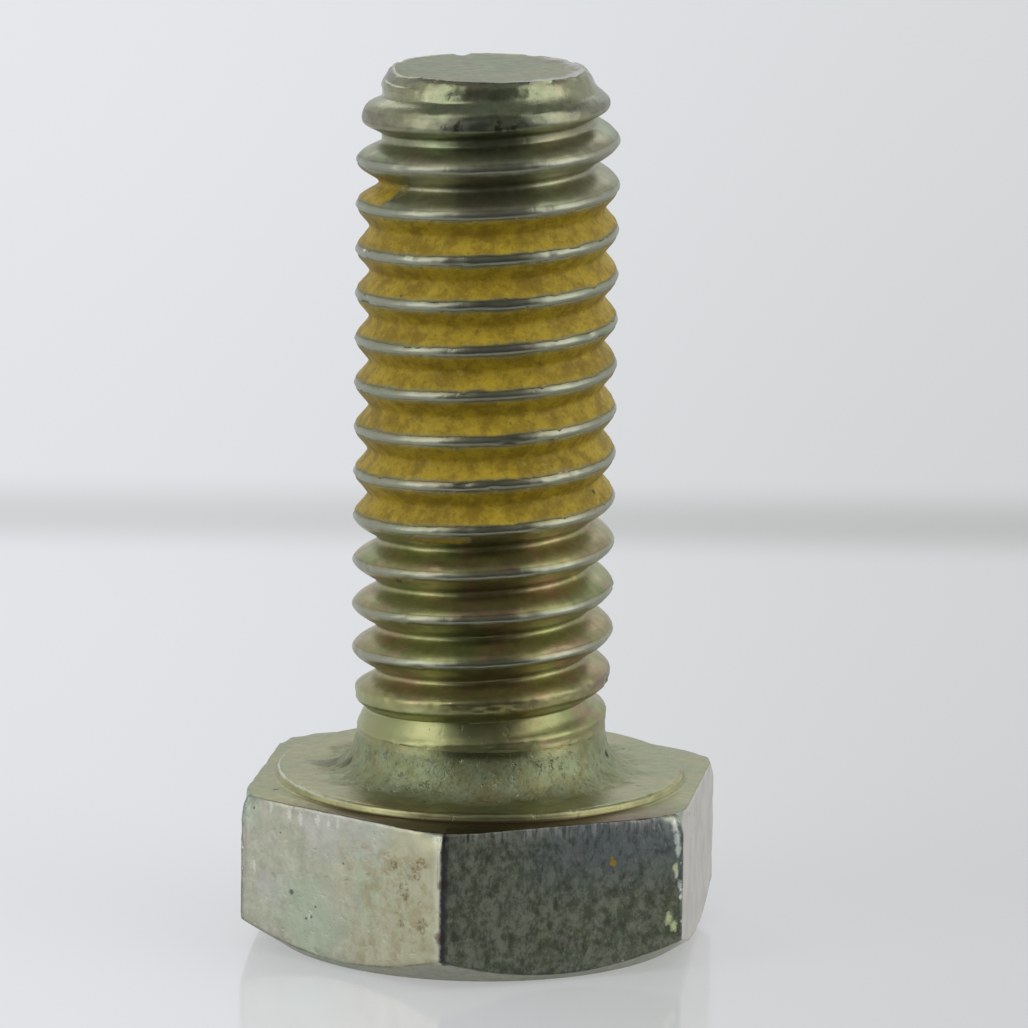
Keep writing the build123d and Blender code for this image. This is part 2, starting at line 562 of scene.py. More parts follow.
def film_cover(centre, offset, x, y, height):
    """How far the resin covers a point of the groove, from 0, bare, to 1."""
    ragged = 0.10 * lumps(x, y, height, 0.45, 51.0) + 0.05 * lumps(x, y, height, 0.14, 52.0)
    top = eased(FILM_TOP + 0.03, FILM_TOP - 0.03, centre + 0.3 * ragged + 0.16 * max(0.0, offset))
    foot = eased(FILM_FOOT - 0.04, FILM_FOOT + 0.04, centre + 0.3 * ragged)
    smear = eased(0.075, 0.030, abs(centre - SMEAR_HEIGHT) + 0.3 * abs(ragged))
    smear *= eased(0.16, 0.24, offset + ragged) * 0.75
    edge = FILM_EDGE + 0.030 * lumps(x, y, height, 0.5, 61.0) + 0.020 * lumps(x, y, height, 0.12, 62.0)
    return max(top * foot, smear) * eased(edge + 0.045, edge - 0.15, abs(offset))


def spread(point):
    """Where a point of the film lies, and how thickly the resin lies there."""
    angle, radius, height = polar(point)
    centre = groove_centre(angle, height)
    offset = height - centre
    metal = profile_radius(offset)
    if radius < metal - 0.01:
        return point, 0.0
    x, y = math.cos(angle) * MAJOR_RADIUS, math.sin(angle) * MAJOR_RADIUS
    cover = film_cover(centre, offset, x, y, height)
    grain = 0.5 + 0.5 * lumps(x, y, height, 0.16, 71.0)
    fine = 0.5 + 0.5 * lumps(x, y, height, 0.07, 72.0)
    level = FILM_LEVEL + 0.02 * lumps(x, y, height, 0.9, 73.0) + 0.86 * math.hypot(offset, 0.05)
    full = greater(metal + FILM_SKIN, level, 0.06) + 0.020 * (grain - 0.5) + 0.010 * (fine - 0.5)
    full = between(full, metal + 0.035, eased(FILM_TOP - 0.45, FILM_TOP - 0.15, centre))
    lying = between(metal - 0.10, metal - 0.012, eased(0.0, 0.12, cover))
    lying = between(lying, metal + 0.010, eased(0.12, 0.45, cover))
    return at(angle, between(lying, full, eased(0.25, 1.0, cover)), height), cover


def make_film(material):
    """The dry locking resin on the middle turns: it lies in the groove and up both flanks."""
    bm = bmesh.new()
    worn = bm.verts.layers.float.new("worn")
    foot = FIRST_GROOVE - (FILM_TURNS + 1) * PITCH
    outer = spaced(-FILM_REACH, FILM_REACH, FILM_ROWS)
    points = [(profile_radius(offset) + 0.02, foot + offset) for offset in outer]
    inner = (0.40, 0.22, 0.0, -0.22, -0.40)
    under = [(profile_radius(offset) - 0.16, foot + offset) for offset in inner]
    verts = wire(bm, points + under)
    bm.edges.new((verts[-1], verts[0]))
    repeated(bm, FILM_TURNS, PITCH)
    turned(bm, FILM_STEPS, 8, rise=PITCH)
    for vert in bm.verts:
        vert.co, vert[worn] = spread(vert.co)
    for level in (foot, foot + FILM_TURNS * PITCH):
        made = bmesh.ops.extrude_edge_only(bm, edges=open_ring(bm, level, 0.6))["geom"]
        bmesh.ops.pointmerge(bm, verts=verts_in(made), merge_co=(FILM_END_RADIUS, 0, level))
    return finished("locking_film", bm, [material], 180.0)


# ---- shader tools

def fill(tree, node, inputs):
    """Sets a node's inputs, or joins them to the sockets that feed them."""
    for socket, value in dict(inputs).items():
        if isinstance(value, bpy.types.NodeSocket):
            tree.links.new(value, node.inputs[socket])
        else:
            node.inputs[socket].default_value = value
    return node


def put(tree, kind, inputs=(), **settings):
    """Adds a shader node, sets it and fills its inputs."""
    made = tree.nodes.new("ShaderNode" + kind)
    for name, value in settings.items():
        setattr(made, name, value)
    return fill(tree, made, inputs)


def group(name, defaults, result):
    """An empty node group with named inputs and one output, and the sockets inside it."""
    made = bpy.data.node_groups.new(name, "ShaderNodeTree")
    kinds = {3: "NodeSocketVector", 4: "NodeSocketColor"}
    for socket, value in defaults.items():
        kind = kinds[len(value)] if isinstance(value, tuple) else "NodeSocketFloat"
        made.interface.new_socket(socket, in_out="INPUT", socket_type=kind).default_value = value
    kind = "NodeSocketColor" if result == "Color" else "NodeSocketFloat"
    made.interface.new_socket(result, in_out="OUTPUT", socket_type=kind)
    return made, made.nodes.new("NodeGroupInput").outputs, made.nodes.new("NodeGroupOutput").inputs[0]


def use(tree, made, *values):
    """Places a node group, with its first inputs given in their order."""
    return fill(tree, put(tree, "Group", node_tree=made), enumerate(values)).outputs[0]


def maths(tree, operation, a, b):
    return put(tree, "Math", {0: a, 1: b}, operation=operation).outputs[0]


def most(tree, a, b):
    return maths(tree, "MAXIMUM", a, b)


def plus(tree, a, b):
    return maths(tree, "ADD", a, b)


def times(tree, product, *shares):
    """The product of all the numbers given."""
    for share in shares:
        product = maths(tree, "MULTIPLY", product, share)
    return product


def measured(tree, operation, *vectors):
    """A number taken from vectors: the length of one, or the dot product of two."""
    return put(tree, "VectorMath", enumerate(vectors), operation=operation).outputs["Value"]


def scaled(tree, vector, scale):
    return put(tree, "VectorMath", {0: vector, "Scale": scale}, operation="SCALE").outputs[0]


def ramp(tree, value, low, high, to_low=0.0, to_high=1.0):
    """Smoothly maps a value from the span low..high to to_low..to_high."""
    inputs = {"Value": value, "From Min": low, "From Max": high, "To Min": to_low, "To Max": to_high}
    return put(tree, "MapRange", inputs, interpolation_type="SMOOTHSTEP").outputs["Result"]


def mix(tree, share, a, b):
    """Mixes two colours, each a socket or its red, green and blue; the node takes them at 6 and 7."""
    a, b = [tone if isinstance(tone, bpy.types.NodeSocket) else (*tone, 1.0) for tone in (a, b)]
    return put(tree, "Mix", {0: share, 6: a, 7: b}, data_type="RGBA").outputs[2]


def layered(tree, base, *layers):
    """Lays tones over a base colour, each as far as the product of the shares given with it."""
    for tone, *shares in layers:
        base = mix(tree, times(tree, *shares), base, tone)
    return base


def place(tree):
    return put(tree, "TexCoord").outputs["Object"]


def axes(tree):
    """The piece's own X, Y and Z, in millimetres."""
    return put(tree, "SeparateXYZ", {0: scaled(tree, place(tree), 1.0 / MM)}).outputs


def reach_towards(tree, turn):
    """How far out a point lies towards one side of the screw, in millimetres."""
    return measured(tree, "DOT_PRODUCT", place(tree), at(math.radians(turn), 1.0 / MM, 0.0))


def on_flat(tree, turn):
    """1 on the flat that faces one way, and 0 on the others."""
    return ramp(tree, reach_towards(tree, turn), FLAT_RADIUS - 0.10, FLAT_RADIUS - 0.045)


def wear(tree):
    return put(tree, "Attribute", attribute_name="worn").outputs["Fac"]


def cloud(tree, size, detail=3.0, roughness=0.5, shift=(0, 0, 0), stretch=(1, 1, 1), distortion=0.0):
    """Noise over the piece, with lumps about size millimetres across."""
    scale = [1.0 / (size * MM * s) for s in stretch]
    mapped = put(tree, "Mapping", {"Vector": place(tree), "Location": shift, "Scale": scale})
    return put(tree, "TexNoise", {
        "Vector": mapped.outputs[0], "Scale": 1.0, "Detail": detail,
        "Roughness": roughness, "Distortion": distortion,
    }).outputs["Fac"]


def patches(tree, low, high, *noise_settings):
    """1 where noise of the given settings is over high, and 0 where it is under low."""
    return ramp(tree, cloud(tree, *noise_settings), low, high)


def swing(tree, amount, *noise_settings):
    """Noise of the given settings that swings round 0, by up to about half an amount each way."""
    centred = maths(tree, "SUBTRACT", cloud(tree, *noise_settings), 0.5)
    return times(tree, centred, amount)


# ---- shared effects

def build_plating_tint():
    """The passivated zinc's colour: olive straw, with drifts of green and rose."""
    tree, given, out = group("plating_tint", {
        "Straw": (0.42, 0.42, 0.28, 1.0), "Green": (0.30, 0.44, 0.28, 1.0), "Rose": (0.50, 0.38, 0.30, 1.0),
        "Green Share": 0.5, "Rose Share": 0.5}, "Color")
    drift = patches(tree, 0.42, 0.62, 2.2, 2.0, 0.5, (3, 1, 7))
    fringe = ramp(tree, cloud(tree, 1.0, 3.0, shift=(9, 4, 2), distortion=1.0), 0.45, 0.66)
    tinted = mix(tree, times(tree, drift, given["Green Share"]), given["Straw"], given["Green"])
    tinted = mix(tree, times(tree, fringe, given["Rose Share"]), tinted, given["Rose"])
    fine = ramp(tree, cloud(tree, 0.22, 4.0, 0.65, shift=(5, 5, 1)), 0.25, 0.75, 0.84, 1.14)
    tree.links.new(scaled(tree, tinted, fine), out)
    return tree


def build_rubbed():
    """Where the plating is rubbed to bright metal: the piece's worn attribute, broken up by noise."""
    tree, given, out = group("rubbed_edge", {
        "Amount": 1.0, "Start": 0.45, "Broken": 1.1, "Soft": 0.30}, "Mask")
    level = plus(tree, wear(tree), swing(tree, given["Broken"], 0.30, 4.0, 0.65, (2, 8, 3)))
    high = plus(tree, given["Start"], given["Soft"])
    mask = ramp(tree, level, given["Start"], high)
    tree.links.new(times(tree, mask, given["Amount"]), out)
    return tree


def build_specks():
    """Scattered round specks of dirt."""
    tree, given, out = group("dirt_specks", {"Spacing": 1.0, "Share": 0.3, "Size": 0.18}, "Mask")
    scale = maths(tree, "DIVIDE", 1.0 / MM, given["Spacing"])
    cells = put(tree, "TexVoronoi", {"Vector": place(tree), "Scale": scale, "Randomness": 1.0})
    drawn = put(tree, "SeparateColor", {"Color": cells.outputs["Color"]})
    chosen = maths(tree, "LESS_THAN", drawn.outputs[0], given["Share"])
    reach = times(tree, given["Size"], plus(tree, drawn.outputs[1], 0.4))
    distance = plus(tree, cells.outputs["Distance"], swing(tree, 0.20, 0.12, 3.0))
    inside = maths(tree, "SUBTRACT", 1.0, maths(tree, "DIVIDE", distance, reach))
    tree.links.new(times(tree, chosen, ramp(tree, inside, 0.0, 0.5)), out)
    return tree


def build_grain():
    """The height of fine grain and pits in a surface, for a bump."""
    tree, given, out = group("surface_grain", {"Grain": 0.5, "Pits": 0.3}, "Height")
    grain = cloud(tree, 0.09, 4.0, 0.6, shift=(1, 2, 3))
    pits = ramp(tree, cloud(tree, 0.20, 3.0, 0.6, shift=(6, 2, 9)), 0.58, 0.72, 0.0, -1.0)
    height = plus(tree, times(tree, grain, given["Grain"]), times(tree, pits, given["Pits"]))
    tree.links.new(height, out)
    return tree


def build_mark():
    """One soft-edged, ragged mark round a centre; Tall above 1 draws it out along the axis."""
    tree, given, out = group("small_mark", {
        "Centre": (0.0, 0.0, 0.0), "Size": 0.1 * MM, "Ragged": 1.6, "Tall": 1.0}, "Mask")
    inputs = {0: place(tree), 1: given["Centre"]}
    away = put(tree, "VectorMath", inputs, operation="SUBTRACT").outputs[0]
    x, y, z = put(tree, "SeparateXYZ", {0: away}).outputs
    squat = maths(tree, "DIVIDE", z, given["Tall"])
    shaped = put(tree, "CombineXYZ", {"X": x, "Y": y, "Z": squat}).outputs[0]
    share = maths(tree, "DIVIDE", measured(tree, "LENGTH", shaped), given["Size"])
    scale = maths(tree, "DIVIDE", 1.3, given["Size"])
    inputs = {"Vector": place(tree), "Scale": scale, "Detail": 4.0, "Roughness": 0.65}
    coarse = put(tree, "TexNoise", inputs).outputs["Fac"]
    rough = times(tree, maths(tree, "SUBTRACT", coarse, 0.5), given["Ragged"])
    tree.links.new(ramp(tree, plus(tree, share, rough), 1.15, 0.45), out)
    return tree


plating_tint = build_plating_tint()
rubbed_edge = build_rubbed()
dirt_specks = build_specks()
surface_grain = build_grain()
small_mark = build_mark()

DIRT = (0.03, 0.026, 0.02)
RUBBED_ZINC = (0.33, 0.34, 0.26)
BARE_NICK = (0.7, 0.72, 0.66)
# Violet-dark colour for painted dark reflections along rounded edges, not a stain
EDGE_SHADE_VIOLET = (0.085, 0.075, 0.1)


def material_named(name):
    made = bpy.data.materials.new(name)
    made.use_nodes = True
    return made, made.node_tree, made.node_tree.nodes["Principled BSDF"]


def plated(tree, straw, green, rose, green_share, rose_share):
    """The passivated zinc's colour, from its three tints and how much there is of two of them."""
    tints = [(*tone, 1.0) for tone in (straw, green, rose)]
    return use(tree, plating_tint, *tints, green_share, rose_share)


def bumped(tree, shader, height, depth):
    """Bumps a shader's surface by a height, depth millimetres deep."""
    bump = put(tree, "Bump", {"Height": height, "Distance": depth * MM, "Strength": 1.0})
    tree.links.new(bump.outputs[0], shader.inputs["Normal"])


def marks(tree, spots, tall=1.0, ragged=1.8):
    """A mask over a few marks, each given as its angle, radius, height and size."""
    union = None
    for turn, radius, height, size in spots:
        centre = at(math.radians(turn), radius, height) * MM
        mask = use(tree, small_mark, centre, size * MM, ragged, tall)
        union = mask if union is None else most(tree, union, mask)
    return union


THREAD_DIRT = ((-142.3, 2.45, 7.19, 0.13), (-123.3, 2.80, 8.36, 0.11), (-35.7, 2.55, 18.22, 0.08),
               (-110.0, 2.90, 17.88, 0.06), (-112.0, 2.65, 18.50, 0.08))
THREAD_GOLD = ((-24.8, 2.52, 8.42, 0.22), (-100.0, 2.42, 18.15, 0.07), (-77.0, 2.45, 18.10, 0.06))
THREAD_NICKS = ((-96.0, 2.86, 5.84, 0.055), (-152.0, 2.90, 15.70, 0.16), (-102.2, 2.42, 18.16, 0.06))


def thread_plating():
    """Yellow-passivated zinc on the rolled thread, browner towards the head, rubbed on the crests, with
    painted dark reflections along the crest bands' edges.
    """
    made, tree, shader = material_named("thread_plating")
    x, _, z = axes(tree)
    upper = plated(tree, (0.29, 0.29, 0.175), (0.215, 0.265, 0.155), (0.31, 0.265, 0.19), 0.6, 0.4)
    lower = plated(tree, (0.325, 0.295, 0.13), (0.255, 0.31, 0.13), (0.4, 0.255, 0.165), 0.55, 0.6)
    worn = wear(tree)
    # Painted dark reflection: a thin dark line along both edges of each rubbed crest band
    crest_edge_shade = times(tree, ramp(tree, worn, 0.04, 0.22), ramp(tree, worn, 0.62, 0.36))
    broken = ramp(tree, cloud(tree, 0.8, 3.0, 0.5, (7, 1, 5)), 0.35, 0.65, 0.1, 0.45)
    specks = most(tree, use(tree, dirt_specks, 0.9, 0.16, 0.09), marks(tree, THREAD_DIRT, ragged=1.3))
    pits = times(
        tree,
        patches(tree, 0.50, 0.62, 0.20, 4.0, 0.6, (2, 5, 2)),
        ramp(tree, reach_towards(tree, -85.0), 2.45, 2.70),
        ramp(tree, z, 18.46, 18.54),
        ramp(tree, z, 18.80, 18.72),
    )
    base = layered(
        tree,
        mix(tree, ramp(tree, z, 15.0, 9.0), upper, lower),
        ((0.35, 0.365, 0.17), ramp(tree, z, 5.80, 5.50), ramp(tree, x, 1.4, 0.2, 0.2, 0.9)),
        (EDGE_SHADE_VIOLET, crest_edge_shade, broken),
        (RUBBED_ZINC, use(tree, rubbed_edge, 0.90, 0.42, 1.1, 0.50)),
        ((0.5, 0.5, 0.16), marks(tree, THREAD_GOLD), 0.8),
        (DIRT, most(tree, specks, pits), 0.7),
        ((0.9, 0.92, 0.86), marks(tree, THREAD_NICKS)),
    )
    rough = ramp(tree, cloud(tree, 0.5, 4.0, 0.5, (4, 4, 4)), 0.3, 0.7, 0.30, 0.40)
    rough = plus(tree, rough, ramp(tree, z, 18.70, 18.95, 0.0, -0.10))
    fill(tree, shader, {"Base Color": base, "Metallic": 0.92, "Roughness": rough})
    bumped(tree, shader, use(tree, surface_grain, 0.35, 0.4), 0.006)
    return made


NECK_BROWN = ((-110.0, 4.25, 3.75, 0.40), (-101.0, 4.25, 3.75, 0.35))
NECK_DARK = ((-172.0, 3.45, 3.78, 0.42), (-36.0, 3.15, 4.25, 0.14), (-28.0, 3.05, 4.35, 0.12),
             (-160.0, 3.10, 3.95, 0.25), (-18.0, 3.90, 3.75, 0.07))


def neck_plating():
    """The fillet and the washer face: duller, pitted round the neck and ringed by the die, with a painted
    shadow under the washer's rim on the front side.
    """
    made, tree, shader = material_named("neck_plating")
    x, y, z = axes(tree)
    out_by = measured(tree, "LENGTH", put(tree, "CombineXYZ", {"X": x, "Y": y}).outputs[0])
    wander = swing(tree, 1.6, 0.7, 3.0, 0.5, (1, 9, 4))
    near_neck = times(tree, ramp(tree, plus(tree, out_by, wander), 4.1, 3.0),
                      ramp(tree, z, NECK_TOP - 0.02, NECK_TOP - 0.30))
    pits = patches(tree, 0.48, 0.70, 0.15, 5.0, 0.75, (7, 3, 5), (1, 1, 1.7))
    wall = times(tree, ramp(tree, out_by, WASHER_RADIUS - 0.05, WASHER_RADIUS - 0.01),
                 ramp(tree, z, HEX_HEIGHT + 0.01, HEX_HEIGHT + 0.04))
    rim_drift = patches(tree, 0.38, 0.62, 0.9, 3.0, 0.5, (2, 2, 6))
    # Painted shadow: a dark brown band at the foot of the washer's wall, under its rim, on the front side
    # only
    step = ramp(tree, z, HEX_HEIGHT + 0.065, HEX_HEIGHT + 0.02)
    shaded_front_side = ramp(tree, reach_towards(tree, -82.0), 2.0, 4.2)
    # Bare metal on the washer's rim, mostly on the left: partly real wear, partly a painted highlight where
    # the rim faces the light
    rubbed = use(tree, rubbed_edge, ramp(tree, x, -1.8, -3.4, 0.08, 0.80), 0.62)
    base = layered(
        tree,
        plated(tree, (0.29, 0.285, 0.135), (0.22, 0.265, 0.13), (0.33, 0.29, 0.15), 0.6, 0.5),
        ((0.325, 0.365, 0.215), near_neck, patches(tree, 0.35, 0.65, 0.45, 4.0, 0.65, (4, 8, 1))),
        ((0.075, 0.085, 0.05), near_neck, pits, 0.60),
        ((0.48, 0.54, 0.38), near_neck, patches(tree, 0.62, 0.74, 0.12, 3.0, 0.7, (2, 3, 8)), 0.6),
        ((0.2, 0.13, 0.04), marks(tree, NECK_BROWN), 0.6),
        ((0.07, 0.075, 0.045), marks(tree, NECK_DARK, ragged=2.6), 0.6),
        (mix(tree, rim_drift, (0.38, 0.37, 0.18), (0.52, 0.5, 0.26)), wall),
        # painted shadow under the washer's rim, in front
        ((0.08, 0.045, 0.025), step, shaded_front_side, 0.85),
        (BARE_NICK, rubbed, ramp(tree, z, 3.66, 3.70)),
        (DIRT, use(tree, dirt_specks, 0.9, 0.35, 0.11)),
    )
    dulled = most(tree, near_neck, times(tree, wall, 0.6))
    fill(tree, shader, {
        "Base Color": base,
        "Metallic": ramp(tree, near_neck, 0.0, 1.0, 1.0, 0.85),
        "Roughness": ramp(tree, dulled, 0.0, 1.0, 0.34, 0.55),
    })
    ringed = put(tree, "CombineXYZ", {"X": out_by}).outputs[0]
    rings = put(tree, "TexNoise", {"Vector": ringed, "Scale": 1.0 / 0.12, "Detail": 2.0})
    grain = use(tree, surface_grain, 0.8, 1.0)
    grain = times(tree, grain, ramp(tree, near_neck, 0.0, 1.0, 0.35, 1.2))
    rings = times(tree, rings.outputs["Fac"], 0.45)
    bumped(tree, shader, plus(tree, grain, rings), 0.014)
    return made


HEAD_STAINS = ((-95.6, 5.42, 2.78, 0.17), (-100.2, 5.24, 2.12, 0.20), (-95.4, 5.43, 1.42, 0.19),
               (-97.5, 5.36, 2.55, 0.22), (-103.0, 5.15, 2.66, 0.13), (-101.0, 5.22, 1.35, 0.10))
# Lilac on the left flat, mostly near its top: a painted sheen
HEAD_LILAC_SHEEN = ((-124.0, 4.95, 3.20, 0.85), (-112.0, 4.98, 3.30, 0.80), (-142.0, 5.30, 1.60, 0.45))
HEAD_GREEN = ((-128.0, 5.00, 1.05, 0.95),)
HEAD_OCHRE = ((-46.6, 5.06, 2.59, 0.09), (-46.9, 5.07, 2.70, 0.05))
HEAD_BLOTS = ((-90.0, 5.68, 2.42, 0.15), (-90.2, 5.68, 1.22, 0.18))
HEAD_SPECKS = ((-135.7, 5.13, 1.55, 0.075), (-129.4, 5.00, 1.08, 0.045), (-139.2, 5.22, 2.84, 0.035),
               (-131.0, 5.02, 1.02, 0.045), (-128.0, 4.98, 1.33, 0.035), (-119.0, 4.94, 2.45, 0.040),
               (-15.0, 5.10, 2.60, 0.04), (-10.0, 5.00, 3.05, 0.04), (-20.0, 5.25, 3.30, 0.05))
HEAD_NICKS = ((-145.0, 5.45, 3.40, 0.05), (-142.0, 5.32, 3.38, 0.05), (-136.5, 5.15, 3.32, 0.07),
              (-133.2, 5.06, 3.26, 0.07), (-127.5, 4.98, 3.30, 0.06), (-124.0, 4.95, 3.28, 0.05),
              (-121.0, 4.94, 3.30, 0.05), (-146.5, 5.50, 1.95, 0.06), (-130.0, 5.00, 1.08, 0.03))
CORNER_NICKS = ((-31.6, 5.58, 3.28, 0.09), (-31.2, 5.61, 3.02, 0.09), (-31.0, 5.63, 2.76, 0.08),
                (-31.3, 5.62, 2.22, 0.06), (-30.6, 5.66, 1.95, 0.06))
CORNER_GLINTS = ((-33.0, 5.55, 1.22, 0.10), (-31.8, 5.60, 1.04, 0.09), (-31.6, 5.60, 2.36, 0.07))


def stained_flat(tree, left, x, z):
    """The layers on the left flat: warmer towards the front corner, with a painted lilac sheen, mostly near
    the top, and green and brown stains.
    """
    stain = times(tree, patches(tree, 0.44, 0.62, 0.32, 5.0, 0.7, (3, 9, 6)),
                  ramp(tree, x, -3.0, -1.6), ramp(tree, z, 3.30, 2.90))
    ragged = patches(tree, 0.40, 0.58, 0.10, 4.0, 0.7, (6, 6, 2))
    return [
        ((0.44, 0.415, 0.27), left, ramp(tree, x, -3.4, -0.3, 0.0, 0.7)),
        ((0.5, 0.5, 0.51), marks(tree, HEAD_LILAC_SHEEN), left, 0.30),
        ((0.345, 0.455, 0.32), marks(tree, HEAD_GREEN), left, 0.45),
        ((0.27, 0.2, 0.09), stain, left, 0.40),
        ((0.15, 0.105, 0.04), ragged, marks(tree, HEAD_STAINS, ragged=2.6), 0.75),
    ]


def dulled_and_shaded_flat(tree, x, z):
    """The dark flat in front: its dull finish plus painted shade, blotched, greyer to the right, with pale
    flecks and combed at the top.
    """
    blotch = patches(tree, 0.38, 0.62, 0.26, 5.0, 0.70, (1, 5, 2))
    combed = patches(tree, 0.40, 0.66, 0.075, 3.0, 0.55, (3, 3, 3), (1, 1, 6))
    return layered(
        tree,
        mix(tree, blotch, (0.1, 0.12, 0.072), (0.228, 0.246, 0.182)),
        ((0.165, 0.19, 0.21), ramp(tree, x, 0.8, 3.2), ramp(tree, z, 1.6, 2.9), 0.7),
        ((0.15, 0.1, 0.085), patches(tree, 0.60, 0.72, 0.50, 3.0, 0.6, (8, 2, 6)), 0.45),
        ((0.045, 0.05, 0.04), patches(tree, 0.46, 0.64, 0.16, 4.0, 0.7, (9, 7, 3), (1, 1, 1.6)), 0.55),
        ((0.3, 0.33, 0.25), patches(tree, 0.56, 0.72, 0.13, 4.0, 0.7, (2, 6, 9), (1, 1, 1.8)), 0.55),
        ((0.4, 0.395, 0.375), combed, ramp(tree, z, 3.10, 3.44), 0.72),
    )


def front_corner(tree, near, x):
    """The layers at the front corner: a dark, wavering band of painted shade just right of it, and cream on
    its left, partly a worn edge and partly a painted highlight.
    """
    across = plus(tree, x, swing(tree, 0.16, 0.22, 4.0, 0.6, (5, 3, 7)))
    # Painted shade on the corner's right, where it faces the dark front; the cream on its left is partly
    # worn edge, partly painted highlight
    return [
        ((0.05, 0.045, 0.055), near, ramp(tree, across, -0.04, 0.02), ramp(tree, across, 0.16, 0.05), 0.85),
        ((0.62, 0.61, 0.49), near, ramp(tree, across, -0.01, -0.05), ramp(tree, across, -0.26, -0.10), 0.45),
        ((0.055, 0.032, 0.032), marks(tree, HEAD_BLOTS, ragged=1.2), 0.7),
    ]


def head_plating():
    """The hexagon: pale silvery zinc, stained on one flat and dulled on the next, with nicked edges; painted
    shade darkens the next flat and the front corner, and painted reflections lighten the right flat and
    darken the edges.
    """
    made, tree, shader = material_named("head_plating")
    x, _, z = axes(tree)
    left, front, right = on_flat(tree, -120.0), on_flat(tree, -60.0), on_flat(tree, 0.0)
    # The right flat's pale tone: partly its own finish, partly a painted reflection of the bright room
    # behind
    pale = mix(tree, patches(tree, 0.4, 0.6, 0.8), (0.66, 0.63, 0.56), (0.6, 0.57, 0.53))
    specks = most(tree, use(tree, dirt_specks, 0.8, 0.25, 0.07), marks(tree, HEAD_SPECKS))
    near_front = ramp(tree, reach_towards(tree, -90.0), 5.45, 5.52)
    elsewhere = maths(tree, "SUBTRACT", 1.0, near_front)
    nicks = times(tree, marks(tree, HEAD_NICKS, tall=2.6, ragged=2.8), 0.42)
    base = layered(
        tree,
        plated(tree, (0.425, 0.43, 0.335), (0.355, 0.44, 0.33), (0.455, 0.415, 0.355), 0.6, 0.4),
        *stained_flat(tree, left, x, z),
        (pale, right),
        # the front flat: its duller finish plus painted shade
        (dulled_and_shaded_flat(tree, x, z), front),
        ((0.42, 0.27, 0.03), marks(tree, HEAD_OCHRE)),
        (DIRT, specks, 0.65),
        # painted dark reflection along the head's rounded edges
        (EDGE_SHADE_VIOLET, use(tree, rubbed_edge, 0.55, 0.82, 0.9, 0.30)),
        (BARE_NICK, use(tree, rubbed_edge, 0.90, 1.06, 1.1, 0.12), elsewhere),
        *front_corner(tree, near_front, x),
        ((0.72, 0.76, 0.69), most(tree, nicks, times(tree, marks(tree, CORNER_NICKS, tall=2.2), 0.75))),
        ((0.7, 0.76, 0.42), marks(tree, CORNER_GLINTS, tall=1.7), 0.9),
    )
    rough = ramp(tree, cloud(tree, 0.6, 4.0, 0.5, (8, 4, 4)), 0.3, 0.7, 0.36, 0.48)
    fill(tree, shader, {
        "Base Color": base,
        "Metallic": ramp(tree, front, 0.0, 1.0, 1.0, 0.70),
        "Roughness": plus(tree, rough, times(tree, front, 0.10)),
    })
    bumped(tree, shader, use(tree, surface_grain, 0.5, 0.5), 0.009)
    return made


def end_plating():
    """The sheared end of the shank: matt and finely grained."""
    made, tree, shader = material_named("end_plating")
    on_right = ramp(tree, axes(tree)["X"], 0.4, 1.3)
    base = layered(
        tree,
        plated(tree, (0.305, 0.31, 0.205), (0.25, 0.3, 0.21), (0.31, 0.265, 0.215), 0.6, 0.5),
        (RUBBED_ZINC, use(tree, rubbed_edge, 0.6, 0.5)),
        ((0.56, 0.54, 0.56), use(tree, rubbed_edge, 1.0, 0.15, 1.6), on_right, 0.8),
    )
    fill(tree, shader, {"Base Color": base, "Metallic": 1.0, "Roughness": 0.55})
    bumped(tree, shader, use(tree, surface_grain, 1.0, 0.5), 0.015)
    return made


RESIN_SPECKS = ((-122.6, 2.74, 14.74, 0.09), (-55.8, 2.72, 13.36, 0.07), (-16.9, 2.72, 10.30, 0.10),
                (-70.0, 2.72, 12.10, 0.05), (-140.0, 2.74, 11.75, 0.05))


def dry_resin():
    """Dried thread-locking resin: mustard yellow, with browner spots, and greenish at its thin edges."""
    made, tree, shader = material_named("dry_locking_resin")
    mottled = patches(tree, 0.38, 0.62, 0.50, 5.0, 0.70, (2, 6, 1))
    cover = plus(tree, wear(tree), swing(tree, 0.5, 0.25, 3.0))
    thin = ramp(tree, cover, 0.85, 0.25)
    base = layered(
        tree,
        mix(tree, mottled, (0.47, 0.335, 0.024), (0.29, 0.195, 0.014)),
        ((0.2, 0.125, 0.01), patches(tree, 0.52, 0.70, 0.10, 3.0, 0.6, (5, 1, 9)), 0.50),
        ((0.56, 0.43, 0.06), patches(tree, 0.56, 0.74, 0.28, 3.0, 0.6, (15, 11, 9)), 0.5),
        ((0.225, 0.22, 0.125), thin, 0.90),
        (DIRT, most(tree, use(tree, dirt_specks, 1.1, 0.16, 0.07), marks(tree, RESIN_SPECKS))),
    )
    fill(tree, shader, {
        "Base Color": base,
        "Metallic": ramp(tree, thin, 0.3, 1.0, 0.0, 0.65),
        "Roughness": 0.50,
        "Specular IOR Level": 0.22,
    })
    bumped(tree, shader, use(tree, surface_grain, 1.0, 0.4), 0.018)
    return made


screw = make_screw([thread_plating(), neck_plating(), head_plating(), end_plating()])
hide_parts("screw")
film = make_film(dry_resin())
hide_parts("locking_patch")


# ---- the studio

AZIMUTH = 7.97
ELEVATION = 11.94
ROLL = 0.772
AIM = Vector((0.665, 0.093, 9.493)) * MM
DISTANCE = 177.7 * MM
FRONT = at(math.radians(AZIMUTH - 90), 1.0, 0.0)
FLOOR_SIZE = 1.5
FLOOR_LIT = 0.42
FLOOR_SEEN = 0.50
FLAG_RADIUS = 15.0
FLAG_FOOT = 0.3
FLAG_TOP = 40.0


